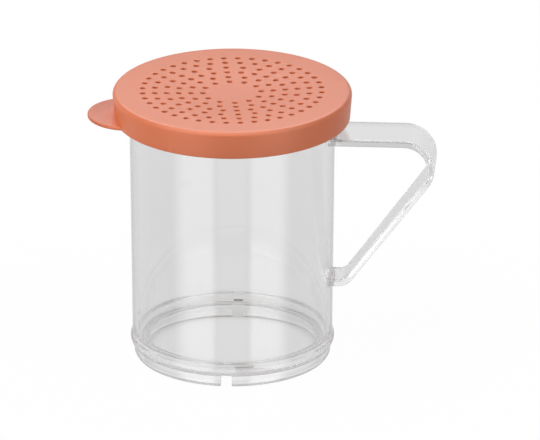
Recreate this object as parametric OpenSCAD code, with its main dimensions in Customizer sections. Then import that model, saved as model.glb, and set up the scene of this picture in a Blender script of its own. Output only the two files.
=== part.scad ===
// Clear moulded shaker cup with a strap handle, and a perforated snap-on lid with a pull tab.
// Millimetres. The origin is the centre of the foot, on the table plane. +Z is up and +X points to the handle.

/* [Cup] */
// Height of the cup to the top of its rim
cup_h = 96.4; // [80:0.1:130]
// Outside diameter of the wall, just above the foot
cup_d = 69.8; // [60:0.1:90]
// Thickness of the wall
wall_t = 1.8; // [1.2:0.1:3]
// Outward lean of the wall, in degrees, which lets the cup leave its mould
wall_draft = 0.65; // [0.2:0.05:1.5]
// Thickness of the floor
floor_t = 2.2; // [1.4:0.1:4]
// Radius of the inside corner between the wall and the floor
corner_r = 4; // [1:0.1:5]

/* [Foot] */
// Height of the hollow under the floor, and of the foot ring round it
foot_h = 4.7; // [3:0.1:7]
// Inward step from the wall to the outside of the foot ring
foot_step = 0.6; // [0.2:0.1:1.2]
// Thickness of the foot ring
foot_t = 4; // [2:0.1:5]
// Radius of the foot ring's outer bottom edge
foot_round = 2.2; // [0.8:0.1:2.4]
// How far the bulge above the foot stands out of the wall
bulge_out = 0.7; // [0.4:0.1:1.5]
// Radius of the bulge's section
bulge_r = 3; // [2:0.1:4]
// Radius of the hollow blend from the bulge up to the wall
bulge_blend = 4; // [2:0.1:6]
// Width of each of the two drain notches in the foot ring
notch_w = 3.9; // [2:0.1:8]

/* [Rim] */
// How far the rim stands out of the wall
rim_out = 3.2; // [2.2:0.1:5]
// Thickness of the rim
rim_t = 2.6; // [1.6:0.1:4]
// Radius of the blend under the rim
rim_blend = 1.6; // [0.6:0.1:2]
// Radius of the rim's inner top edge
rim_edge = 0.5; // [0.2:0.1:0.8]

/* [Handle] */
// Distance from the cup's axis to the farthest point of the handle
handle_reach = 71; // [62:0.5:90]
// Drop from the rim's top to the top of the upper arm
arm_drop = 12.6; // [11:0.1:20]
// Height of the lower arm's top above the table
low_arm_z = 30.3; // [20:0.1:45]
// Slope of the long slanted grip, in degrees above level
grip_slope = 53.5; // [48:0.5:62]
// Thickness of the strap
strap_t = 2.5; // [2:0.1:4]
// Width of the strap at the upper arm
strap_w = 19; // [14:0.5:26]
// Width of the strap at the lower arm
strap_low_w = 13; // [8:0.5:19]
// Outer radius of the upper bend
bend_r = 11; // [7:0.5:14]
// Inner radius of the lower bend
low_bend_r = 3.5; // [1.5:0.1:5]

/* [Lid] */
// Height of the lid from its top face to the bottom of its skirt
lid_h = 9.8; // [8:0.1:16]
// Thickness of the lid's plate and skirt
lid_t = 1.6; // [1:0.1:2.4]
// Radius of the lid's outer top edge
lid_round = 1.5; // [0.6:0.1:1.6]
// Outward lean of the skirt from its bottom up, in degrees
skirt_lean = 4.5; // [0:0.5:8]
// Gap between the rim and the bottom of the skirt
lid_gap = 0.3; // [0.2:0.05:1]
// Gap between the rim and the snap ridge, drawn open where the real ridge stretches over the rim
snap_gap = 0.05; // [0.02:0.01:0.15]
// Radius of the snap ridge's section
ridge_r = 0.7; // [0.4:0.1:1]
// Turn of the lid on the rim, in degrees, from having its tab straight across from the handle
lid_turn = 3; // [-180:1:180]

/* [Tab] */
// How far the tab stands out of the bottom of the skirt
tab_out = 9.4; // [6:0.1:16]
// Radius of the tab's round outline
tab_r = 14.8; // [10:0.1:20]
// Thickness of the tab
tab_t = 1.3; // [0.8:0.1:2.4]

/* [Holes] */
// Diameter of each shaker hole
hole_d = 2; // [1:0.1:3]
// Number of holes in each ring, from the inside out
hole_counts = [12, 16, 24, 24, 32, 40];
// Radius of the innermost ring of holes
ring_r = 10.2; // [7:0.1:12]
// Distance from one ring of holes to the next
ring_pitch = 4.2; // [3.4:0.1:4.4]
// Turn of the holes from the tab's direction, in degrees
hole_turn = 6; // [-45:1:45]

/* [Hidden] */
$fn = 96;
over = 1;                                              // how far a cut runs past the face that it opens
sink = 0.4;                                            // how far a joined piece runs into the one that carries it
bite = 0.02;                                           // how far a blend's circle cuts into what it runs out on

// Cup: radii of the wall at a height, and the heights and radii that follow from it
floor_z = foot_h + floor_t;
bulge_z = floor_z;                                     // the bulge runs round at the height of the floor
function wall_r(z) = cup_d / 2 + (z - bulge_z) * tan(wall_draft);
function bore_r(z) = wall_r(z) - wall_t;
foot_r = cup_d / 2 - foot_step;
rim_r = wall_r(cup_h) + rim_out;
rim_under = cup_h - rim_t;

// Handle: the two bends' centres, in the X-Z plane
bend_in = bend_r - strap_t;
arm_z = cup_h - arm_drop;
bend_c = [handle_reach - bend_r, arm_z - bend_r];
grip_in = bend_c.x * sin(grip_slope) - bend_c.y * cos(grip_slope) + bend_in; // from the origin to the grip's inner face
low_c = [(grip_in - low_bend_r + (low_arm_z + low_bend_r) * cos(grip_slope)) / sin(grip_slope),
         low_arm_z + low_bend_r];

// Lid
lid_top = cup_h + lid_t;
skirt_z = lid_top - lid_h;
skirt_r = rim_r + lid_gap + lid_t;
lid_edge = [skirt_r + (lid_top - lid_round - lid_round * sin(skirt_lean) - skirt_z) * tan(skirt_lean)
                - lid_round * cos(skirt_lean),
            lid_top - lid_round];                      // centre of the rounded top edge's section
function skirt_in(z) = rim_r + lid_gap + (z - skirt_z) * tan(skirt_lean);

module at(p) { translate([p.x, p.y]) children(); }

// Section of the bulge, and of the hollow blend that takes it up into the wall
module bulge_section() {
    c = [wall_r(bulge_z) + bulge_out - bulge_r, bulge_z];
    blend_x = wall_r(bulge_z + bulge_r) + bulge_blend - bite;
    blend = [blend_x, c.y + sqrt(pow(bulge_r + bulge_blend - bite, 2) - pow(blend_x - c.x, 2))];
    at(c) circle(bulge_r);
    difference() {
        polygon([c, blend, [c.x, blend.y]]);
        at(blend) circle(bulge_blend);
    }
}

// Section of the foot ring, with its outer bottom edge rounded
module foot_section() {
    translate([0, foot_round]) square([foot_r, bulge_z - foot_round]);
    square([foot_r - foot_round, bulge_z]);
    translate([foot_r - foot_round, foot_round]) circle(foot_round);
}

// Section of the rim: a flange with a half-round edge, and a blend below it
module rim_section() {
    translate([0, rim_under]) square([rim_r - rim_t / 2, rim_t]);
    translate([rim_r - rim_t / 2, cup_h - rim_t / 2]) circle(rim_t / 2);
    difference() {
        translate([0, rim_under - rim_blend]) square([wall_r(rim_under) + rim_blend, rim_blend]);
        translate([wall_r(rim_under) + rim_blend, rim_under - rim_blend]) circle(rim_blend);
    }
}

// Outside of the cup as a full solid of revolution
module cup_outside() {
    rotate_extrude() {
        polygon([[0, bulge_z], [wall_r(bulge_z), bulge_z], [wall_r(cup_h - rim_t / 2), cup_h - rim_t / 2],
                 [0, cup_h - rim_t / 2]]);
        foot_section();
        bulge_section();
        rim_section();
    }
}

// Inside of the cup: drafted, with a round corner at the floor and an eased edge at the rim
module cup_inside() {
    c = [bore_r(floor_z + corner_r) - corner_r / cos(wall_draft), floor_z + corner_r];
    touch = c + corner_r * [cos(wall_draft), -sin(wall_draft)];
    edge_r = bore_r(cup_h);
    rotate_extrude() {
        polygon([[0, floor_z], [c.x, floor_z], c, touch, [edge_r, cup_h], [edge_r, cup_h + over],
                 [0, cup_h + over]]);
        intersection() {
            at(c) circle(corner_r);
            translate([0, floor_z]) square([c.x + corner_r, corner_r]);
        }
        difference() {
            translate([edge_r - sink, cup_h - rim_edge]) square([rim_edge + sink, rim_edge + over]);
            translate([edge_r + rim_edge, cup_h - rim_edge]) circle(rim_edge);
        }
    }
}

// Hollow under the floor, with two notches that let washing water drain
module foot_hollow() {
    translate([0, 0, -over]) cylinder(h = foot_h + over, r = foot_r - foot_t);
    translate([-notch_w / 2, -cup_d / 2 - bulge_out - over, -over])
        cube([notch_w, cup_d + 2 * (bulge_out + over), foot_h + over]);
}

// Side view of all that the strap goes round, out to a distance outside its inner face
module strap_loop(out) {
    across = [sin(grip_slope), -cos(grip_slope)];
    start_x = out > 0 ? 0 : -over;
    polygon([[start_x, arm_z - strap_t + out], [bend_c.x, arm_z - strap_t + out],
             bend_c + (bend_in + out) * across, low_c + (low_bend_r + out) * across,
             [low_c.x, low_arm_z - out], [start_x, low_arm_z - out]]);
    at(bend_c) circle(bend_in + out);
    at(low_c) circle(low_bend_r + out);
}

// Strap handle: level upper arm, bend, slanted grip, tighter bend, level lower arm, narrowed towards the bottom
module handle() {
    wide_z = arm_z - bend_r / 2;
    narrow_z = low_arm_z + 2 * low_bend_r;
    w = strap_w / 2;
    low_w = strap_low_w / 2;
    low_z = low_arm_z - strap_t - over;
    intersection() {
        rotate([90, 0, 0]) linear_extrude(strap_w + 2 * over, center = true)
            difference() {
                strap_loop(strap_t);
                strap_loop(0);
            }
        rotate([90, 0, 90]) linear_extrude(handle_reach + over)
            polygon([[-low_w, low_z], [low_w, low_z], [low_w, narrow_z], [w, wide_z], [w, arm_z + over],
                     [-w, arm_z + over], [-w, wide_z], [-low_w, narrow_z]]);
    }
}

// Cup and handle are one moulding
module cup() {
    color([0.86, 0.88, 0.9, 0.45])
        difference() {
            union() {
                cup_outside();
                handle();
            }
            cup_inside();
            foot_hollow();
        }
}

// Lid without its tab and holes: plate, skirt and snap ridge
module lid_shell() {
    rotate_extrude() {
        difference() {
            union() {
                polygon([[0, skirt_z], [skirt_r, skirt_z],
                         lid_edge + lid_round * [cos(skirt_lean), -sin(skirt_lean)], lid_edge, [lid_edge.x, lid_top],
                         [0, lid_top]]);
                intersection() {
                    at(lid_edge) circle(lid_round);
                    translate([0, skirt_z]) square([lid_edge.x + lid_round, lid_h]);
                }
            }
            polygon([[-over, skirt_z - over], [skirt_in(skirt_z - over), skirt_z - over],
                     [skirt_in(cup_h), cup_h], [-over, cup_h]]);
        }
        translate([rim_r + snap_gap + ridge_r, rim_under - ridge_r]) circle(ridge_r);
    }
}

// Round tab at the foot of the skirt, cut where it meets the skirt's wall
module tab() {
    tip = skirt_r + tab_out;
    difference() {
        translate([tab_r - tip, 0, skirt_z]) cylinder(h = tab_t, r = tab_r);
        translate([0, 0, skirt_z - over]) cylinder(h = tab_t + 2 * over, r = skirt_r - lid_t / 2);
    }
}

module shaker_holes() {
    for (i = [0 : len(hole_counts) - 1])
        for (k = [0 : hole_counts[i] - 1])
            rotate([0, 0, hole_turn + 360 * k / hole_counts[i]])
                translate([ring_r + i * ring_pitch, 0, cup_h - over])
                    cylinder(h = lid_t + 2 * over, d = hole_d, $fn = 24);
}

module lid() {
    color([0.86, 0.55, 0.46])
        rotate([0, 0, lid_turn])
            difference() {
                union() {
                    lid_shell();
                    tab();
                }
                shaker_holes();
            }
}

cup();
lid();
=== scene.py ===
import math

import bmesh
import bpy
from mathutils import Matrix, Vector
from mathutils.geometry import delaunay_2d_cdt


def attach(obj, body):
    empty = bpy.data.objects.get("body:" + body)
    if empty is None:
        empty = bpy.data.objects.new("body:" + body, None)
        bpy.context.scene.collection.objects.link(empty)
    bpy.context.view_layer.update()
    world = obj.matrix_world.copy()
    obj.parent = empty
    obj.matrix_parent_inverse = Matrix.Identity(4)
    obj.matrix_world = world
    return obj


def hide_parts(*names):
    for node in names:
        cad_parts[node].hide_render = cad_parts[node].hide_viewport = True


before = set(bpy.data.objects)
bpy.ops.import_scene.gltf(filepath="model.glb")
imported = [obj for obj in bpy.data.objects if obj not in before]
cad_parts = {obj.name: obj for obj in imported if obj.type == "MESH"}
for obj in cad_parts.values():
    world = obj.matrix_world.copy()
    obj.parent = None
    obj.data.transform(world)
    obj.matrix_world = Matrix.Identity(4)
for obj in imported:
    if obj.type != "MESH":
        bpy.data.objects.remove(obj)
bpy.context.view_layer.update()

scene = bpy.context.scene
mm = 0.001
turnSteps = 288  # faces round a revolved shape
tiny = 1e-6  # lengths that differ by less count as equal, in millimetres
shortestStep = 0.002  # profile points closer together than this are merged, in millimetres
weldDistance = 2e-7  # points of a finished mesh closer together than this are welded, in metres
flatDistance = 1e-7  # shorter edges than this are dissolved, in metres
sharpDeg = 35  # edges that bend more than this stay sharp
print("frame loaded:", sorted(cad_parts))


# ---- shared mesh helpers, all in millimetres until the mesh is made

def clampShare(value):
    return min(1, max(0, value))


def grey(level):
    return (level, level, level, 1)


def arcPoints(centre, radius, fromDeg, toDeg, steps):
    points = []
    for i in range(steps + 1):
        a = math.radians(fromDeg + (toDeg - fromDeg) * i / steps)
        points.append((centre[0] + radius * math.cos(a), centre[1] + radius * math.sin(a)))
    return points


def tidyProfile(points):
    kept = [points[0]]
    for p in points[1:]:
        if math.dist(p, kept[-1]) > shortestStep:
            kept.append(p)
    return kept


def aroundAxis(radius, z, degrees):
    a = math.radians(degrees)
    return (radius * math.cos(a), radius * math.sin(a), z)


# Spins a profile of (radius, height) points. openPatch(row, column) says which faces are left out.
def spinProfile(profile, steps=turnSteps, openPatch=None):
    verts, faces, rows = [], [], []
    for r, z in profile:
        if r < tiny:
            rows.append([len(verts)] * steps)
            verts.append((0.0, 0.0, z))
        else:
            rows.append(list(range(len(verts), len(verts) + steps)))
            verts += [aroundAxis(r, z, 360 * k / steps) for k in range(steps)]
    for i, (low, high) in enumerate(zip(rows, rows[1:])):
        for k in range(steps):
            if openPatch and openPatch(i, k):
                continue
            n = (k + 1) % steps
            face = [low[k], low[n], high[n], high[k]]
            faces.append([v for j, v in enumerate(face) if v != face[j - 1]])
    return verts, faces, rows


def bridgeLoops(faces, first, second):
    for k in range(len(first)):
        n = (k + 1) % len(first)
        faces.append([first[k], first[n], second[n], second[k]])


def makePiece(name, verts, faces):
    mesh = bpy.data.meshes.new(name)
    mesh.from_pydata([(x * mm, y * mm, z * mm) for x, y, z in verts], [], faces)
    piece = bpy.data.objects.new(name, mesh)
    scene.collection.objects.link(piece)
    cleanPiece(piece)
    return piece


def cleanPiece(piece):
    work = bmesh.new()
    work.from_mesh(piece.data)
    bmesh.ops.remove_doubles(work, verts=work.verts, dist=weldDistance)
    bmesh.ops.dissolve_degenerate(work, edges=work.edges, dist=flatDistance)
    bmesh.ops.recalc_face_normals(work, faces=work.faces)
    for face in work.faces:
        face.smooth = True
    work.to_mesh(piece.data)
    work.free()
    piece.data.set_sharp_from_angle(angle=math.radians(sharpDeg))


# Cuts or joins with an exact boolean, and keeps the result as the piece's own mesh
def applyBoolean(piece, other, operation):
    step = piece.modifiers.new(operation.lower(), "BOOLEAN")
    step.object, step.operation, step.solver = other, operation, "EXACT"
    evaluated = piece.evaluated_get(bpy.context.evaluated_depsgraph_get())
    mesh = bpy.data.meshes.new_from_object(evaluated)
    piece.modifiers.clear()
    piece.data = mesh
    bpy.data.objects.remove(other)
    cleanPiece(piece)


def reportPiece(piece):
    work = bmesh.new()
    work.from_mesh(piece.data)
    openEdges = sum(1 for e in work.edges if len(e.link_faces) != 2)
    volume = work.calc_volume() / mm ** 3
    print(f"{piece.name}: {len(work.faces)} faces, {openEdges} open edges, {volume:.0f} mm3")
    work.free()


# ---- camera, set from the photograph: low three-quarter view through a long lens

cameraView = {
    "azimuth": 3.6, "elevation": 21.6, "distance": 5.0,
    "aim": (0.0131, 0.0008, 0.0494),
    "frameWidth": 0.18845,  # width of the picture at the object
    "sensor": 36, "clip": (0.1, 50),
}


def makeCamera():
    a, e = math.radians(cameraView["azimuth"]), math.radians(cameraView["elevation"])
    back = Vector((math.sin(a) * math.cos(e), -math.cos(a) * math.cos(e), math.sin(e)))
    lens = bpy.data.cameras.new("camera")
    lens.sensor_width = cameraView["sensor"]
    lens.lens = cameraView["sensor"] * cameraView["distance"] / cameraView["frameWidth"]
    lens.clip_start, lens.clip_end = cameraView["clip"]
    camera = bpy.data.objects.new("camera", lens)
    scene.collection.objects.link(camera)
    camera.location = Vector(cameraView["aim"]) + back * cameraView["distance"]
    camera.rotation_mode = "QUATERNION"
    camera.rotation_quaternion = (-back).to_track_quat("-Z", "Y")
    scene.camera = camera


makeCamera()
print("camera set")


# ---- cup: revolved wall, floor, rim and foot, with the strap handle moulded on

cupSizes = {
    "height": 96.4, "wallRadius": 34.9, "wall": 1.8, "draft": 0.65, "floor": 2.2, "cornerRadius": 4.0,
    "footHeight": 4.7, "footStep": 0.6, "footWall": 4.0, "footRound": 2.2,
    "bulge": 0.7, "bulgeRadius": 3.0, "bulgeBlend": 4.0, "notchWidth": 3.9,
    "rimOut": 3.2, "rimThick": 2.6, "rimBlend": 1.6, "rimEdge": 0.5,
    "softEdge": 0.3,  # radius on the foot's small edges
    "hollowRound": 1.0,  # radius between the hollow's roof and its wall
    "ringEdge": 1.6,  # radius on the foot ring's inner edge, where it meets the table
    # the notches' cutter starts at this distance from the axis and reaches this far past the foot
    "notchCorner": 0.5, "notchFrom": 30.0, "notchSpare": 2.0,
    "rowPitch": 2.2,  # height of a row of faces on the wall
}
strapSizes = {
    "reach": 70.996, "armDrop": 12.6, "lowArm": 30.3, "slope": 53.5, "thick": 2.5,
    "width": 19.0, "lowWidth": 13.0, "bend": 11.0, "lowBend": 3.5,
    "edge": 0.7,  # radius along the strap's edges
    "rootBlend": 0.5,  # radius where the strap runs into the wall
    "armStart": 38.5,  # where the straight arm begins, past the root's blend
    # faces of the wall that each root takes the place of, and the bare wall left round the root inside them
    "patchColumns": 17, "patchRows": 14, "rootMargin": 1.4,
    "rootRings": (0.35, 0.7), "blendRings": 9, "cornerSteps": 5,
    "armSteps": 12, "bendSteps": 28, "gripSteps": 30, "lowSteps": 12,
}
# where the plastic's darker tint and painted shade set in: the strap outside startX, and its side faces above endZ
tintAndShadeMarks = {
    "startX": 36.5, "fadeX": 1.5, "endZ": 64.0, "fadeZ": 5.0, "turned": 0.2, "turnedRange": 0.4,
    "insideBelow": 0.5,  # how far under the floor's top the inside still counts
    "strapShare": 0.66, "insideShare": 0.0,  # how much of the wall's edge tint, which is partly painted edge shade, the strap and the inside take
}
bulgeHeight = cupSizes["footHeight"] + cupSizes["floor"]


def wallRadius(z):
    return cupSizes["wallRadius"] + (z - bulgeHeight) * math.tan(math.radians(cupSizes["draft"]))


def wallRows(fromZ, toZ, patches):
    marks = sorted({fromZ, toZ, *(z for patch in patches for z in patch)})
    rows = []
    for low, high in zip(marks, marks[1:]):
        inPatch = any(low >= a - tiny and high <= b + tiny for a, b in patches)
        count = strapSizes["patchRows"] if inPatch else max(1, round((high - low) / cupSizes["rowPitch"]))
        rows += [low + (high - low) * i / count for i in range(count)]
    return rows + [toZ]


def cupProfile(patches):
    c = cupSizes
    footRadius = c["wallRadius"] - c["footStep"]
    hollow = footRadius - c["footWall"]
    soft = c["softEdge"]
    rimRadius = wallRadius(c["height"]) + c["rimOut"]
    rimUnder = c["height"] - c["rimThick"]
    bulge = (c["wallRadius"] + c["bulge"] - c["bulgeRadius"], bulgeHeight)
    blendX = wallRadius(bulgeHeight + c["bulgeRadius"]) + c["bulgeBlend"]
    reach = c["bulgeRadius"] + c["bulgeBlend"]
    blend = (blendX, bulge[1] + math.sqrt(reach ** 2 - (blendX - bulge[0]) ** 2))
    meet = math.degrees(math.atan2(blend[1] - bulge[1], blend[0] - bulge[0]))
    # small hollow blend in the crease between the foot ring and the bulge
    creaseX = footRadius + soft
    crease = (creaseX, bulge[1] - math.sqrt((c["bulgeRadius"] + soft) ** 2 - (creaseX - bulge[0]) ** 2))
    creaseDeg = math.degrees(math.atan2(crease[1] - bulge[1], crease[0] - bulge[0]))
    roof = (hollow - c["hollowRound"], c["footHeight"] - c["hollowRound"])
    outer = [(0, c["footHeight"])] + arcPoints(roof, c["hollowRound"], 90, 0, 14)
    outer += arcPoints((hollow + c["ringEdge"], c["ringEdge"]), c["ringEdge"], 180, 270, 14)
    outer += arcPoints((footRadius - c["footRound"], c["footRound"]), c["footRound"], -90, 0, 24)
    outer += arcPoints(crease, soft, 180, 180 + creaseDeg, 5)
    outer += arcPoints(bulge, c["bulgeRadius"], creaseDeg, meet, 24)
    outer += arcPoints(blend, c["bulgeBlend"], 180 + meet, 180, 5)
    wallTop = rimUnder - c["rimBlend"]
    wallStart = len(tidyProfile(outer))
    rows = wallRows(blend[1], wallTop, patches)
    outer += [(wallRadius(z), z) for z in rows[1:]]
    outer += arcPoints((wallRadius(rimUnder) + c["rimBlend"], wallTop), c["rimBlend"], 180, 90, 6)
    rimHalf = c["rimThick"] / 2
    outer += arcPoints((rimRadius - rimHalf, c["height"] - rimHalf), rimHalf, -90, 90, 14)
    bore = wallRadius(c["height"]) - c["wall"]
    inner = arcPoints((bore + c["rimEdge"], c["height"] - c["rimEdge"]), c["rimEdge"], 90, 180, 5)
    cornerZ = bulgeHeight + c["cornerRadius"]
    cornerX = wallRadius(cornerZ) - c["wall"] - c["cornerRadius"] / math.cos(math.radians(c["draft"]))
    steps = 30
    for i in range(1, steps):
        z = c["height"] - c["rimEdge"] + (cornerZ - c["height"] + c["rimEdge"]) * i / steps
        inner.append((wallRadius(z) - c["wall"], z))
    inner += arcPoints((cornerX, cornerZ), c["cornerRadius"], -c["draft"], -90, 32)
    inner += [(0, bulgeHeight)]
    return tidyProfile(outer + inner), wallStart, rows


# Strap section as a closed loop of (across, out) points: bottom side, right side, top side, left side
def strapLoop(width, thick, edge, columns, rows):
    loop = []
    bend = strapSizes["cornerSteps"]
    corners = [(-1, -1), (1, -1), (1, 1), (-1, 1)]
    for side in range(4):
        count = columns if side % 2 == 0 else rows
        a, b = corners[side], corners[(side + 1) % 4]
        start = (a[0] * (width / 2 - edge), a[1] * (thick / 2 - edge))
        end = (b[0] * (width / 2 - edge), b[1] * (thick / 2 - edge))
        turn = -90 + 90 * side
        for i in range(count):
            if i < bend:
                centre, deg = start, turn - 45 + 45 / bend * i
            elif i > count - bend:
                centre, deg = end, turn + 45 / bend * (i - count + bend)
            else:
                share = (i - bend) / (count - 2 * bend)
                centre = tuple(start[k] + (end[k] - start[k]) * share for k in range(2))
                deg = turn
            d = math.radians(deg)
            loop.append((centre[0] + edge * math.cos(d), centre[1] + edge * math.sin(d)))
    return loop


def strapWidthAt(z):
    s = strapSizes
    arm = cupSizes["height"] - s["armDrop"]
    wideZ, narrowZ = arm - s["bend"] / 2, s["lowArm"] + 2 * s["lowBend"]
    share = clampShare((z - narrowZ) / (wideZ - narrowZ))
    return s["lowWidth"] + (s["width"] - s["lowWidth"]) * share


# Stations along the strap's middle line, from the upper arm round to the lower one: (x, z, outward direction)
def strapStations():
    s = strapSizes
    half = s["thick"] / 2
    arm = cupSizes["height"] - s["armDrop"]
    bend = (s["reach"] - s["bend"], arm - s["bend"])
    slope = math.radians(s["slope"])
    gripIn = bend[0] * math.sin(slope) - bend[1] * math.cos(slope) + s["bend"] - s["thick"]
    lowZ = s["lowArm"] + s["lowBend"]
    lowX = (gripIn - s["lowBend"] + lowZ * math.cos(slope)) / math.sin(slope)
    grip = s["slope"] - 90  # direction of the grip's outer face, in degrees

    def bendStations(centre, radius, fromDeg, toDeg, steps):
        points = arcPoints(centre, radius, fromDeg, toDeg, steps)
        return [(p, fromDeg + (toDeg - fromDeg) * i / steps) for i, p in enumerate(points)]

    start = s["armStart"]
    line = [((start + (bend[0] - start) * i / s["armSteps"], arm - half), 90) for i in range(s["armSteps"])]
    line += bendStations(bend, s["bend"] - half, 90, grip, s["bendSteps"])
    lowBend = bendStations((lowX, lowZ), s["lowBend"] + half, grip, -90, s["lowSteps"])
    first, last = line[-1][0], lowBend[0][0]
    for i in range(1, s["gripSteps"]):
        line.append((tuple(first[k] + (last[k] - first[k]) * i / s["gripSteps"] for k in range(2)), grip))
    return line + lowBend


def buildCup():
    s = strapSizes
    armZ = cupSizes["height"] - s["armDrop"] - s["thick"] / 2
    lowZ = s["lowArm"] - s["thick"] / 2
    margin = s["thick"] / 2 + s["rootBlend"] + s["rootMargin"]
    patches = [(lowZ - margin, lowZ + margin), (armZ - margin, armZ + margin)]
    profile, wallStart, rows = cupProfile(patches)
    rowOf = {round(z, 4): wallStart - 1 + i for i, z in enumerate(rows)}
    spans = [(rowOf[round(a, 4)], rowOf[round(b, 4)]) for a, b in patches]
    columns = s["patchColumns"]

    def inPatch(row, column):
        side = column if column < turnSteps / 2 else column - turnSteps
        return -columns <= side < columns and any(a <= row < b for a, b in spans)

    verts, faces, grid = spinProfile(profile, openPatch=inPatch)

    def patchRim(low, high):
        stepRow = 1 if high > low else -1
        rim = [grid[low][c] for c in range(-columns, columns)]
        rim += [grid[r][columns] for r in range(low, high, stepRow)]
        rim += [grid[high][c] for c in range(columns, -columns, -1)]
        rim += [grid[r][-columns] for r in range(high, low, -stepRow)]
        return rim

    def onWall(y, z):
        return (math.sqrt(wallRadius(z) ** 2 - y * y), y, z)

    def addLoop(points):
        start = len(verts)
        verts.extend(points)
        return list(range(start, start + len(points)))

    def sectionLoop(width, grow):
        return strapLoop(width + 2 * grow, s["thick"] + 2 * grow, s["edge"] + grow, 2 * columns, s["patchRows"])

    # rings on the wall between the patch's rim and the strap's root, and the hollow blend of the root
    def rootLoops(rim, middleZ, up, width):
        ends = []
        blend = s["rootBlend"]
        foot = [(y, middleZ + up * h) for y, h in sectionLoop(width, blend)]
        for share in s["rootRings"]:
            ring = []
            for index, (y, z) in zip(rim, foot):
                x0, y0, z0 = verts[index]
                a0, a1 = math.atan2(y0, x0), math.asin(y / wallRadius(z))
                a, height = a0 + (a1 - a0) * share, z0 + (z - z0) * share
                ring.append((wallRadius(height) * math.cos(a), wallRadius(height) * math.sin(a), height))
            ends.append(addLoop(ring))
        for i in range(s["blendRings"]):
            a = math.radians(90 * i / (s["blendRings"] - 0.5))
            out, grow = blend * (1 - math.cos(a)), blend * (1 - math.sin(a))
            ring = []
            for y, h in sectionLoop(width, grow):
                x, y, z = onWall(y, middleZ + up * h)
                ring.append((x + out, y, z))
            ends.append(addLoop(ring))
        return ends

    topRim = patchRim(*spans[1])
    lowRim = patchRim(spans[0][1], spans[0][0])
    chain = [topRim] + rootLoops(topRim, armZ, 1, s["width"])
    for (x, z), deg in strapStations():
        out = math.radians(deg)
        chain.append(addLoop([(x + h * math.cos(out), y, z + h * math.sin(out))
                              for y, h in sectionLoop(strapWidthAt(z), 0)]))
    chain += reversed(rootLoops(lowRim, lowZ, -1, s["lowWidth"]))
    chain.append(lowRim)
    for first, second in zip(chain, chain[1:]):
        bridgeLoops(faces, first, second)
    cup = makePiece("cup_moulding", verts, faces)
    applyBoolean(cup, notchCutter(), "DIFFERENCE")
    return cup


# Two drain notches through the foot ring, front and back
def notchCutter():
    c = cupSizes
    half, reach = c["notchWidth"] / 2, c["wallRadius"] + c["bulge"] + c["notchSpare"]
    corner = c["notchCorner"]
    outline = [(-half, -c["notchSpare"]), (half, -c["notchSpare"])]
    outline += arcPoints((half - corner, c["footHeight"] - corner), corner, 0, 90, 5)
    outline += arcPoints((-half + corner, c["footHeight"] - corner), corner, 90, 180, 5)
    verts, faces = [], []
    for sign in (-1, 1):
        start = len(verts)
        for y in (sign * c["notchFrom"], sign * reach):
            verts += [(x, y, z) for x, z in outline]
        middle = start + len(outline)
        ends = [list(range(start, middle)), list(range(middle, len(verts)))]
        faces += ends
        bridgeLoops(faces, *ends)
    return makePiece("notch_cutter", verts, faces)


# Marks how much of the edge tint and painted edge shade each surface takes, and the strap's side faces along the arm
# and the bend, which get painted shade
def markSurfaces(piece):
    mesh, t = piece.data, tintAndShadeMarks
    edge = mesh.attributes.new("edgeTintAndShadeShare", "FLOAT", "POINT")
    side = mesh.attributes.new("strapSideShade", "FLOAT", "POINT")
    for v in mesh.vertices:
        x, y, z = (value / mm for value in v.co)
        inside = z > bulgeHeight - t["insideBelow"] and math.hypot(x, y) < wallRadius(z) - cupSizes["wall"] / 2
        onStrap = clampShare((x - t["startX"]) / t["fadeX"])
        turned = clampShare((abs(v.normal.y) - t["turned"]) / t["turnedRange"])
        high = clampShare((z - t["endZ"]) / t["fadeZ"])
        edge.data[v.index].value = t["insideShare"] if inside else 1 + (t["strapShare"] - 1) * onStrap
        side.data[v.index].value = onStrap * turned * high


cup = buildCup()
markSurfaces(cup)
reportPiece(cup)


# ---- lid: perforated plate, rounded edge, leaning skirt with its snap ridge, and the pull tab

lidSizes = {
    "height": 9.8, "thick": 1.6, "edgeRound": 1.5, "lean": 4.5, "gap": 0.296, "turn": 3.0,
    "ridgeGap": 0.05, "ridge": 0.7, "skirtEdge": 0.35, "insideCorner": 0.5,
    "tabOut": 9.393, "tabRadius": 14.8, "tabThick": 1.3, "tabEdge": 0.4,
    "seat": 0.03,  # keeps the plate's underside just off the clear rim
    "plateRadius": 35.0,  # the flat plate with the holes runs out to here
    "plateRows": (1.5, 1.0),  # rows of points inside the rounded edge, and outside the plate on its underside
    "dish": 0.9, "dishRadius": 33.0,  # the plate sags a little towards its middle
}
shakerHoles = {
    "diameter": 2.0, "counts": [12, 16, 24, 24, 32, 40], "firstRing": 10.2, "ringPitch": 4.2, "turn": 6.0,
    "edge": 0.22, "edgeSteps": 4, "sides": 24,
    "collar": 0.06,  # flat ring left round each hole's soft edge
    # loose points as (radius, count), so that the dish bends evenly: inside the rings of holes and between them
    "looseInside": [(0, 1), (3.2, 8), (6.2, 16)], "looseBetween": 120,
}


def holeCentres():
    h = shakerHoles
    centres = []
    for i, count in enumerate(h["counts"]):
        for k in range(count):
            a = math.radians(lidSizes["turn"] + h["turn"] + 360 * k / count)
            r = h["firstRing"] + h["ringPitch"] * i
            centres.append((r * math.cos(a), r * math.sin(a)))
    return centres


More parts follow.
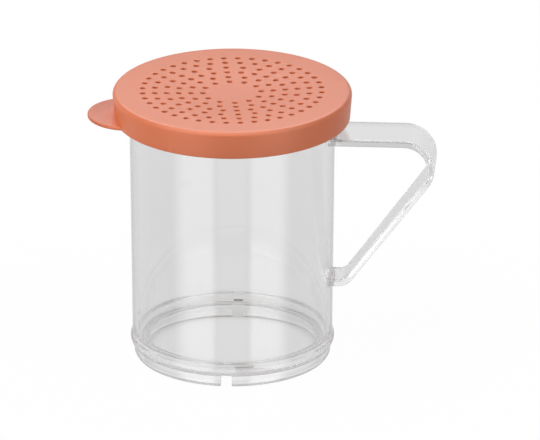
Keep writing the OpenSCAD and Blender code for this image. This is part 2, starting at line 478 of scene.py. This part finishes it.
def buildLid():
    l, h = lidSizes, shakerHoles
    rimRadius = wallRadius(cupSizes["height"]) + cupSizes["rimOut"]
    rimUnder = cupSizes["height"] - cupSizes["rimThick"]
    top = cupSizes["height"] + l["thick"]
    under = cupSizes["height"] + l["seat"]
    bottom = top - l["height"]
    skirt = rimRadius + l["gap"] + l["thick"]
    lean = math.radians(l["lean"])
    edgeX = (skirt + (top - l["edgeRound"] - l["edgeRound"] * math.sin(lean) - bottom) * math.tan(lean)
             - l["edgeRound"] * math.cos(lean))

    def skirtInside(z):
        return rimRadius + l["gap"] + (z - bottom) * math.tan(lean)

    plate, soft = l["plateRadius"], l["skirtEdge"]
    profile = [(plate, top), (edgeX - l["plateRows"][0], top)]
    profile += arcPoints((edgeX, top - l["edgeRound"]), l["edgeRound"], 90, -l["lean"], 12)
    lowX = skirt + soft * math.tan(lean) - soft / math.cos(lean)
    profile += arcPoints((lowX, bottom + soft), soft, -l["lean"], -90, 4)
    inX = skirtInside(bottom) + soft * math.tan(lean) + soft / math.cos(lean)
    profile += arcPoints((inX, bottom + soft), soft, -90, -180 - l["lean"], 4)
    # snap ridge, a low round bead inside the skirt
    ridge = (rimRadius + l["ridgeGap"] + l["ridge"], rimUnder - l["ridge"])
    depth = (ridge[0] - skirtInside(ridge[1])) * math.cos(lean)
    swing = math.degrees(math.acos(min(1, depth / l["ridge"])))
    profile += arcPoints(ridge, l["ridge"], 180 + l["lean"] + swing - 360, 180 + l["lean"] - swing - 360, 10)
    corner = l["insideCorner"]
    profile += arcPoints((skirtInside(under - corner) - corner, under - corner), corner, -l["lean"], 90, 5)
    profile += [(plate + l["plateRows"][1], under), (plate, under)]
    verts, faces, grid = spinProfile(tidyProfile(profile))

    # plate: each side is filled between its rim and the holes' rings, then every hole's wall joins the two
    centres = holeCentres()
    sides = h["sides"]
    radius, soften = h["diameter"] / 2, h["edge"]

    def ringAround(centre, r, z):
        start = len(verts)
        for k in range(sides):
            a = 2 * math.pi * k / sides
            verts.append((centre[0] + r * math.cos(a), centre[1] + r * math.sin(a), z))
        return list(range(start, start + sides))

    loose = h["looseInside"] + [(h["firstRing"] + h["ringPitch"] * (i + 0.5), h["looseBetween"])
                                for i in range(len(h["counts"]))]
    outerRings = {}
    for z, rim in ((top, grid[0]), (under, grid[-1])):
        rings = [ringAround(c, radius + soften + h["collar"], z) for c in centres]
        outerRings[z] = rings
        loops = [rim] + rings
        order = [index for loop in loops for index in loop]
        for r, count in loose:
            order += list(range(len(verts), len(verts) + count))
            verts += [aroundAxis(r, z, 360 * k / count) for k in range(count)]
        edges, owner, start = [], {}, 0
        for number, loop in enumerate(loops):
            for k in range(len(loop)):
                edges.append((start + k, start + (k + 1) % len(loop)))
                owner[start + k] = number
            start += len(loop)
        flat = [Vector(verts[index][:2]) for index in order]
        _, _, triangles, origins, _, _ = delaunay_2d_cdt(flat, edges, [], 1, tiny)
        for triangle in triangles:
            names = [origins[p][0] for p in triangle]
            owners = {owner.get(n, 0) for n in names}
            if len(owners) == 1 and owners != {0}:
                continue  # a triangle inside a hole
            faces.append([order[n] for n in names])
    softSteps = [math.radians(90 * i / h["edgeSteps"]) for i in range(h["edgeSteps"] + 1)]
    for k, centre in enumerate(centres):
        chain = [outerRings[top][k]]
        for a in softSteps:
            chain.append(ringAround(centre, radius + soften * (1 - math.sin(a)), top - soften * (1 - math.cos(a))))
        for a in reversed(softSteps):
            chain.append(ringAround(centre, radius + soften * (1 - math.sin(a)), under + soften * (1 - math.cos(a))))
        chain.append(outerRings[under][k])
        for first, second in zip(chain, chain[1:]):
            bridgeLoops(faces, first, second)
    sagged = []
    plateLow = under - 0.01  # all points of the plate lie above this
    for x, y, z in verts:
        inward = max(0, 1 - (x * x + y * y) / l["dishRadius"] ** 2) if z > plateLow else 0
        sagged.append((x, y, z - l["dish"] * inward ** 2))
    lid = makePiece("lid_moulding", sagged, faces)
    applyBoolean(lid, tabBlank(skirt, bottom), "UNION")
    return lid


# Round tab with soft edges, sunk halfway into the skirt's wall
def tabBlank(skirt, bottom):
    l = lidSizes
    tip = skirt + l["tabOut"]
    centreX = tip - l["tabRadius"]
    inside = skirt - l["thick"] / 2
    turn = math.radians(180 + l["turn"])
    # where the tab's circle crosses the middle of the skirt's wall
    cross = (inside ** 2 + centreX ** 2 - l["tabRadius"] ** 2) / (2 * centreX)
    tabAngle = math.degrees(math.acos((cross - centreX) / l["tabRadius"]))
    wallAngle = math.degrees(math.acos(cross / inside))

    def outline(shrink):
        points = arcPoints((centreX, 0), l["tabRadius"] - shrink, -tabAngle, tabAngle, 60)
        points += arcPoints((0, 0), inside, wallAngle, -wallAngle, 24)[1:-1]
        return [(x * math.cos(turn) - y * math.sin(turn), x * math.sin(turn) + y * math.cos(turn))
                for x, y in points]

    verts, faces, chain = [], [], []
    soft, angles = l["tabEdge"], [math.radians(a) for a in (0, 22.5, 45, 67.5, 90)]
    levels = [(soft * (1 - math.sin(a)), soft * (1 - math.cos(a))) for a in angles]
    levels += [(shrink, l["tabThick"] - z) for shrink, z in reversed(levels)]
    for shrink, z in levels:
        start = len(verts)
        verts += [(x, y, bottom + z) for x, y in outline(shrink)]
        chain.append(list(range(start, len(verts))))
    for first, second in zip(chain, chain[1:]):
        bridgeLoops(faces, first, second)
    faces += [chain[0], chain[-1]]
    return makePiece("tab_blank", verts, faces)


lid = buildLid()
reportPiece(lid)


# ---- shared shader groups

def makeGroup(name, inputs, outputs):
    group = bpy.data.node_groups.new(name, "ShaderNodeTree")
    for label, kind, value in inputs:
        group.interface.new_socket(label, in_out="INPUT", socket_type=kind).default_value = value
    for label, kind in outputs:
        group.interface.new_socket(label, in_out="OUTPUT", socket_type=kind)
    return group, group.nodes.new("NodeGroupInput"), group.nodes.new("NodeGroupOutput")


def addNode(tree, kind, inputs=None, **settings):
    node = tree.nodes.new(kind)
    for key, value in settings.items():
        setattr(node, key, value)
    for key, value in (inputs or {}).items():
        if isinstance(value, bpy.types.NodeSocket):
            tree.links.new(value, node.inputs[key])
        else:
            node.inputs[key].default_value = value
    return node


# Fine grain and slow ripple of a moulded skin, as a normal and a small change of roughness
def mouldedSkinGroup():
    group, into, out = makeGroup("mouldedSkin", [
        ("Grain Scale", "NodeSocketFloat", 2500.0), ("Grain Depth", "NodeSocketFloat", 0.02),
        ("Ripple Scale", "NodeSocketFloat", 40.0), ("Ripple Depth", "NodeSocketFloat", 0.02),
        ("Roughness", "NodeSocketFloat", 0.4), ("Roughness Change", "NodeSocketFloat", 0.05),
    ], [("Normal", "NodeSocketVector"), ("Roughness", "NodeSocketFloat")])
    place = addNode(group, "ShaderNodeTexCoord").outputs["Object"]
    grain = addNode(group, "ShaderNodeTexNoise", {"Vector": place, "Scale": into.outputs["Grain Scale"],
                                                  "Detail": 2.0})
    ripple = addNode(group, "ShaderNodeTexNoise", {"Vector": place, "Scale": into.outputs["Ripple Scale"],
                                                   "Detail": 1.0})
    slow = addNode(group, "ShaderNodeBump", {"Strength": into.outputs["Ripple Depth"], "Distance": 0.001,
                                             "Height": ripple.outputs["Fac"]})
    fine = addNode(group, "ShaderNodeBump", {"Strength": into.outputs["Grain Depth"], "Distance": 0.0002,
                                             "Height": grain.outputs["Fac"], "Normal": slow.outputs["Normal"]})
    centred = addNode(group, "ShaderNodeMath", {0: ripple.outputs["Fac"], 1: 0.5}, operation="SUBTRACT")
    rough = addNode(group, "ShaderNodeMath", {0: centred.outputs[0], 1: into.outputs["Roughness Change"],
                                              2: into.outputs["Roughness"]}, operation="MULTIPLY_ADD")
    group.links.new(fine.outputs["Normal"], out.inputs["Normal"])
    group.links.new(rough.outputs[0], out.inputs["Roughness"])
    return group


# Raised edges, broken up by small scratches: partly where hands and tables rub a part, partly a painted edge
# highlight
def edgeWearAndHighlightGroup():
    group, into, out = makeGroup("edgeWearAndHighlight", [
        ("Edge Start", "NodeSocketFloat", 0.52), ("Edge Full", "NodeSocketFloat", 0.6),
        ("Scratch Scale", "NodeSocketFloat", 900.0),
    ], [("Mask", "NodeSocketFloat")])
    shape = addNode(group, "ShaderNodeNewGeometry")
    raised = addNode(group, "ShaderNodeMapRange", {"Value": shape.outputs["Pointiness"],
                                                   "From Min": into.outputs["Edge Start"],
                                                   "From Max": into.outputs["Edge Full"]})
    place = addNode(group, "ShaderNodeTexCoord")
    scratch = addNode(group, "ShaderNodeTexNoise", {"Vector": place.outputs["Object"],
                                                    "Scale": into.outputs["Scratch Scale"], "Detail": 4.0})
    broken = addNode(group, "ShaderNodeMapRange", {"Value": scratch.outputs["Fac"], "From Min": 0.42,
                                                   "From Max": 0.62})
    mask = addNode(group, "ShaderNodeMath", {0: raised.outputs["Result"], 1: broken.outputs["Result"]},
                   operation="MULTIPLY", use_clamp=True)
    group.links.new(mask.outputs[0], out.inputs["Mask"])
    return group


mouldedSkin = mouldedSkinGroup()
edgeWearAndHighlight = edgeWearAndHighlightGroup()


def addGroup(tree, group, values):
    node = tree.nodes.new("ShaderNodeGroup")
    node.node_tree = group
    for key, value in values.items():
        node.inputs[key].default_value = value
    return node


def newMaterial(name):
    material = bpy.data.materials.new(name)
    material.use_nodes = True
    return material, material.node_tree, material.node_tree.nodes["Principled BSDF"]


def linkSkin(tree, skin, colour, shader, ior):
    tree.links.new(colour.outputs["Result"], shader.inputs["Base Color"])
    tree.links.new(skin.outputs["Normal"], shader.inputs["Normal"])
    tree.links.new(skin.outputs["Roughness"], shader.inputs["Roughness"])
    shader.inputs["IOR"].default_value = ior


# ---- clear moulded plastic of the cup

clearPlastic = {
    "faceTint": grey(0.90), "edgeTintAndShade": grey(0.30), "ior": 1.585,
    "edgeStart": 0.62, "edgeFull": 0.85,  # how far a face turns away before the darker edge tint sets in; it is partly the longer path through the plastic, partly painted edge shade
    "sideTint": grey(0.66),  # painted shade on the strap's side faces, seen along its width
}


def makeClearPlastic():
    material, tree, shader = newMaterial("clearPlastic")
    skin = addGroup(tree, mouldedSkin, {"Grain Scale": 1500, "Grain Depth": 0.0, "Ripple Scale": 60,
                                        "Ripple Depth": 0.02, "Roughness": 0.0, "Roughness Change": 0.01})
    # painted edge shade: the plastic turns darker where its faces turn away from the view, partly for the longer path
    # through it
    facing = addNode(tree, "ShaderNodeLayerWeight", {"Blend": 0.5})
    grazing = addNode(tree, "ShaderNodeMapRange", {"Value": facing.outputs["Facing"],
                                                   "From Min": clearPlastic["edgeStart"],
                                                   "From Max": clearPlastic["edgeFull"]})
    edge = addNode(tree, "ShaderNodeAttribute", attribute_name="edgeTintAndShadeShare")
    side = addNode(tree, "ShaderNodeAttribute", attribute_name="strapSideShade")
    share = addNode(tree, "ShaderNodeMath", {0: grazing.outputs[0], 1: edge.outputs["Fac"]}, operation="MULTIPLY")
    tintWithEdgeShade = addNode(tree, "ShaderNodeMix", {"Factor": share.outputs[0], "A": clearPlastic["faceTint"],
                                           "B": clearPlastic["edgeTintAndShade"]}, data_type="RGBA")
    # painted shade: the strap's side faces along the arm and the bend turn darker
    tintWithSideShade = addNode(tree, "ShaderNodeMix", {"Factor": side.outputs["Fac"], "A": tintWithEdgeShade.outputs["Result"],
                                             "B": clearPlastic["sideTint"]}, data_type="RGBA")
    linkSkin(tree, skin, tintWithSideShade, shader, clearPlastic["ior"])
    shader.inputs["Transmission Weight"].default_value = 1.0
    return material


# ---- satin coral plastic of the lid

coralPlastic = {
    "colour": (0.500, 0.113, 0.037, 1), "pale": (0.540, 0.133, 0.048, 1), "ior": 1.5,
    "wornAndHighlight": (0.68, 0.26, 0.17, 1), "wearAndHighlight": 0.25,  # the rubbed edges with their painted edge highlight, and how strongly they show
    "tab": (0.46, 0.098, 0.031, 1), "tabShadeStart": -0.0418, "tabShadeFull": -0.0428,  # painted shade: the tab is a little deeper, for how light falls on it
}


def makeCoralPlastic():
    material, tree, shader = newMaterial("coralPlastic")
    skin = addGroup(tree, mouldedSkin, {"Grain Scale": 3000, "Grain Depth": 0.12, "Ripple Scale": 70,
                                        "Ripple Depth": 0.03, "Roughness": 0.42, "Roughness Change": 0.08})
    wearAndHighlight = addGroup(tree, edgeWearAndHighlight, {"Edge Start": 0.52, "Edge Full": 0.62, "Scratch Scale": 700})
    place = addNode(tree, "ShaderNodeTexCoord")
    cloud = addNode(tree, "ShaderNodeTexNoise", {"Vector": place.outputs["Object"], "Scale": 35.0, "Detail": 3.0})
    base = addNode(tree, "ShaderNodeMix", {"Factor": cloud.outputs["Fac"], "A": coralPlastic["colour"],
                                           "B": coralPlastic["pale"]}, data_type="RGBA")
    # rubbed wear and painted edge highlight: a lighter coral on the raised edges
    share = addNode(tree, "ShaderNodeMath", {0: wearAndHighlight.outputs["Mask"], 1: coralPlastic["wearAndHighlight"]}, operation="MULTIPLY")
    wornAndHighlight = addNode(tree, "ShaderNodeMix", {"Factor": share.outputs[0], "A": base.outputs["Result"],
                                           "B": coralPlastic["wornAndHighlight"]}, data_type="RGBA")
    # painted shade: a deeper coral on the tab
    along = addNode(tree, "ShaderNodeSeparateXYZ", {0: place.outputs["Object"]})
    onTabShade = addNode(tree, "ShaderNodeMapRange", {"Value": along.outputs["X"], "From Min": coralPlastic["tabShadeStart"],
                                                 "From Max": coralPlastic["tabShadeFull"]})
    shaded = addNode(tree, "ShaderNodeMix", {"Factor": onTabShade.outputs["Result"], "A": wornAndHighlight.outputs["Result"],
                                             "B": coralPlastic["tab"]}, data_type="RGBA")
    linkSkin(tree, skin, shaded, shader, coralPlastic["ior"])
    return material


def dress(piece, material, body, node):
    piece.data.materials.clear()
    piece.data.materials.append(material)
    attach(piece, body)
    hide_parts(node)


dress(cup, makeClearPlastic(), "cup", "cup")
dress(lid, makeCoralPlastic(), "lid", "lid")
print("pieces dressed")


# ---- floor, room and lamps

floorLook = {
    "radius": 0.6, "sides": 96, "colour": grey(0.60),
    "drop": 0.0001,  # the floor lies this far under the object, so that the two don't touch
    # part of the table's own light that gives way to the object's shadow, from the first radius to the second
    "shadowShare": 0.02, "shadowRadii": (0.05, 0.22),
    "back": 0.002,  # how far behind the object's axis the centre of the table's shading and its painted contact shadow lies
    # brightness of the table as gloss and clear plastic show it, by the distance as a share of the radius: painted
    # shade that darkens towards the object, and a painted contact shadow in a dark ring under the foot
    "shown": [(0.046, 0.86), (0.0495, 0.50), (0.053, 0.58), (0.058, 0.64), (0.065, 0.74), (0.09, 0.81),
              (0.40, 0.84), (1.0, 0.95)],
}
roomLook = {
    "ambient": 0.36,
    # the dark end of the room, seen only in reflections: it fades out along Y and in along Z of the direction
    "behindCamera": 0.35, "fadeOutY": (-0.6, 0.1), "fadeInZ": (-0.12, 0.05),
    # brightness of the room beyond the table and of its dim ceiling, by the direction's height from down to up
    "shown": [(0.0, 0.60), (0.315, 0.84), (0.46, 0.86), (0.66, 0.86), (0.82, 0.52), (1.0, 0.46)],
}
# azimuth from the camera's side, distance, middle height, width, height, brightness, and how far the light fades in
# from its left and its right side, as a share of its width
lamps = [
    {"name": "strip_left", "azimuth": -44.3, "distance": 0.6, "height": 0.12, "width": 0.64, "tall": 1.15,
     "level": 2.2, "soft": (0.4, 0.18), "hiddenFrom": ["diffuse"]},
    {"name": "strip_right", "azimuth": 43.4, "distance": 0.6, "height": 0.12, "width": 0.62, "tall": 1.15,
     "level": 2.2, "soft": (0.18, 0.4), "hiddenFrom": ["diffuse"]},
    {"name": "strip_low", "azimuth": 0, "distance": 0.58, "height": -0.22, "width": 0.5, "tall": 0.4,
     "level": 0.85, "soft": (0.3, 0.3), "hiddenFrom": ["diffuse"]},
    {"name": "key_left", "azimuth": -62, "distance": 0.55, "height": 0.53, "width": 0.6, "tall": 0.6,
     "level": 5.1, "soft": (0.1, 0.1), "hiddenFrom": ["glossy", "transmission"]},
    {"name": "fill_right", "azimuth": 60, "distance": 0.6, "height": 0.42, "width": 0.5, "tall": 0.5,
     "level": 2.7, "soft": (0.1, 0.1), "hiddenFrom": ["glossy", "transmission"]},
    {"name": "softbox_top", "azimuth": 180, "distance": 0.44, "height": 0.69, "width": 0.8, "tall": 0.6,
     "level": 4.7, "soft": (0.1, 0.1), "hiddenFrom": ["diffuse", "transmission"]},
    {"name": "softbox_front", "azimuth": 0, "distance": 0.34, "height": 0.66, "width": 1.0, "tall": 0.5,
     "level": 3.6, "soft": (0.2, 0.2), "hiddenFrom": ["diffuse", "transmission"]},
]
lampAim = 0.08  # height that the lamps above the table are turned to
lightTurns = 200  # light takes many turns inside the clear strap


# 1 for what the camera sees, straight or by gloss or through clear plastic, and 0 for the light that is spread
def seenDirectly(tree):
    path = addNode(tree, "ShaderNodeLightPath")
    first = addNode(tree, "ShaderNodeMath", {0: path.outputs["Is Camera Ray"], 1: path.outputs["Is Glossy Ray"]},
                    operation="MAXIMUM")
    return addNode(tree, "ShaderNodeMath", {0: first.outputs[0], 1: path.outputs["Is Transmission Ray"]},
                   operation="MAXIMUM")


# White for the camera, and a graded pale table for gloss and clear plastic
def whiteToCamera(tree, place, shown):
    path = addNode(tree, "ShaderNodeLightPath")
    graded = addNode(tree, "ShaderNodeValToRGB", {"Fac": place})
    stops = graded.color_ramp.elements
    for i, (position, level) in enumerate(shown):
        stop = stops[i] if i < 2 else stops.new(position)
        stop.position, stop.color = position, grey(level)
    return addNode(tree, "ShaderNodeMix", {"Factor": path.outputs["Is Camera Ray"], "A": graded.outputs["Color"],
                                           "B": grey(1)}, data_type="RGBA").outputs["Result"]


def makeFloor():
    verts, faces, _ = spinProfile([(0, 0), (floorLook["radius"] / mm, 0)], steps=floorLook["sides"])
    floor = makePiece("floor", verts, faces)
    floor.location.z = -floorLook["drop"]
    material = bpy.data.materials.new("paleFloor")
    material.use_nodes = True
    tree = material.node_tree
    tree.nodes.remove(tree.nodes["Principled BSDF"])
    plain = addNode(tree, "ShaderNodeBsdfDiffuse", {"Color": floorLook["colour"]})
    place = addNode(tree, "ShaderNodeTexCoord")
    moved = addNode(tree, "ShaderNodeVectorMath", {0: place.outputs["Object"], 1: (0, -floorLook["back"], 0)},
                    operation="ADD")
    away = addNode(tree, "ShaderNodeVectorMath", {0: moved.outputs["Vector"]}, operation="LENGTH")
    reach = addNode(tree, "ShaderNodeMath", {0: away.outputs["Value"], 1: floorLook["radius"]}, operation="DIVIDE")
    # painted contact shadow and shade round the object, for gloss and clear plastic only
    pale = whiteToCamera(tree, reach.outputs[0], floorLook["shown"])
    white = addNode(tree, "ShaderNodeEmission", {"Color": pale})
    start, end = floorLook["shadowRadii"]
    share = addNode(tree, "ShaderNodeMapRange", {"Value": away.outputs["Value"], "From Min": start, "From Max": end,
                                                 "To Min": 1 - floorLook["shadowShare"], "To Max": 1.0},
                    interpolation_type="SMOOTHSTEP")
    seen = seenDirectly(tree)
    factor = addNode(tree, "ShaderNodeMath", {0: seen.outputs[0], 1: share.outputs["Result"]}, operation="MULTIPLY")
    mixed = addNode(tree, "ShaderNodeMixShader", {"Fac": factor.outputs[0], 1: plain.outputs[0],
                                                  2: white.outputs[0]})
    tree.links.new(mixed.outputs[0], tree.nodes["Material Output"].inputs["Surface"])
    floor.data.materials.append(material)
    floor.visible_glossy = False


def makeRoom():
    world = bpy.data.worlds.new("paleRoom")
    scene.world = world
    world.use_nodes = True
    tree = world.node_tree
    tree.nodes.clear()
    ambient = addNode(tree, "ShaderNodeBackground", {"Color": grey(1), "Strength": roomLook["ambient"]})
    place = addNode(tree, "ShaderNodeTexCoord")
    direction = addNode(tree, "ShaderNodeSeparateXYZ", {0: place.outputs["Generated"]})
    height = addNode(tree, "ShaderNodeMapRange", {"Value": direction.outputs["Z"], "From Min": -1.0, "From Max": 1.0})
    pale = whiteToCamera(tree, height.outputs["Result"], roomLook["shown"])
    # the dark end: in front, above the table, and only by reflection
    path = addNode(tree, "ShaderNodeLightPath")
    near, far = roomLook["fadeOutY"]
    low, high = roomLook["fadeInZ"]
    front = addNode(tree, "ShaderNodeMapRange", {"Value": direction.outputs["Y"], "From Min": near, "From Max": far,
                                                 "To Min": 1.0, "To Max": 0.0})
    above = addNode(tree, "ShaderNodeMapRange", {"Value": direction.outputs["Z"], "From Min": low, "From Max": high})
    mirrored = addNode(tree, "ShaderNodeMapRange", {"Value": path.outputs["Glossy Depth"]})
    both = addNode(tree, "ShaderNodeMath", {0: front.outputs["Result"], 1: above.outputs["Result"]},
                   operation="MULTIPLY")
    dark = addNode(tree, "ShaderNodeMath", {0: both.outputs[0], 1: mirrored.outputs["Result"]}, operation="MULTIPLY")
    room = addNode(tree, "ShaderNodeMix", {"Factor": dark.outputs[0], "A": pale,
                                           "B": grey(roomLook["behindCamera"])}, data_type="RGBA")
    white = addNode(tree, "ShaderNodeBackground", {"Color": room.outputs["Result"], "Strength": 1.0})
    seen = seenDirectly(tree)
    mixed = addNode(tree, "ShaderNodeMixShader", {"Fac": seen.outputs[0], 1: ambient.outputs[0],
                                                  2: white.outputs[0]})
    output = addNode(tree, "ShaderNodeOutputWorld")
    tree.links.new(mixed.outputs[0], output.inputs["Surface"])


def makeLamps():
    for lamp in lamps:
        a = math.radians(cameraView["azimuth"] + lamp["azimuth"])
        light = bpy.data.lights.new(lamp["name"], "AREA")
        light.shape, light.size, light.size_y = "RECTANGLE", lamp["width"], lamp["tall"]
        light.energy = lamp["level"] * math.pi * lamp["width"] * lamp["tall"]
        holder = bpy.data.objects.new(lamp["name"], light)
        scene.collection.objects.link(holder)
        holder.location = (lamp["distance"] * math.sin(a), -lamp["distance"] * math.cos(a), lamp["height"])
        target = Vector((0, 0, lamp["height"] if lamp["name"].startswith("strip") else lampAim))
        holder.rotation_euler = (target - holder.location).to_track_quat("-Z", "Y").to_euler()
        holder.visible_camera = False
        for kind in lamp["hiddenFrom"]:
            setattr(holder, "visible_" + kind, False)
        fadeSides(light, lamp["soft"])


# Lets a softbox fade out towards its two upright edges
def fadeSides(light, soft):
    light.use_nodes = True
    tree = light.node_tree
    shape = addNode(tree, "ShaderNodeNewGeometry")
    spot = addNode(tree, "ShaderNodeSeparateXYZ", {0: shape.outputs["Parametric"]})
    left = addNode(tree, "ShaderNodeMapRange", {"Value": spot.outputs["X"], "From Max": soft[0]},
                   interpolation_type="SMOOTHSTEP")
    right = addNode(tree, "ShaderNodeMapRange", {"Value": spot.outputs["X"], "From Min": 1.0,
                                                 "From Max": 1 - soft[1]}, interpolation_type="SMOOTHSTEP")
    fade = addNode(tree, "ShaderNodeMath", {0: left.outputs["Result"], 1: right.outputs["Result"]},
                   operation="MULTIPLY")
    tree.links.new(fade.outputs[0], tree.nodes["Emission"].inputs["Strength"])


makeFloor()
makeRoom()
makeLamps()
scene.view_settings.view_transform = "Standard"
scene.cycles.max_bounces = lightTurns
scene.cycles.transmission_bounces = lightTurns
scene.cycles.glossy_bounces = lightTurns
print("room and lamps set")
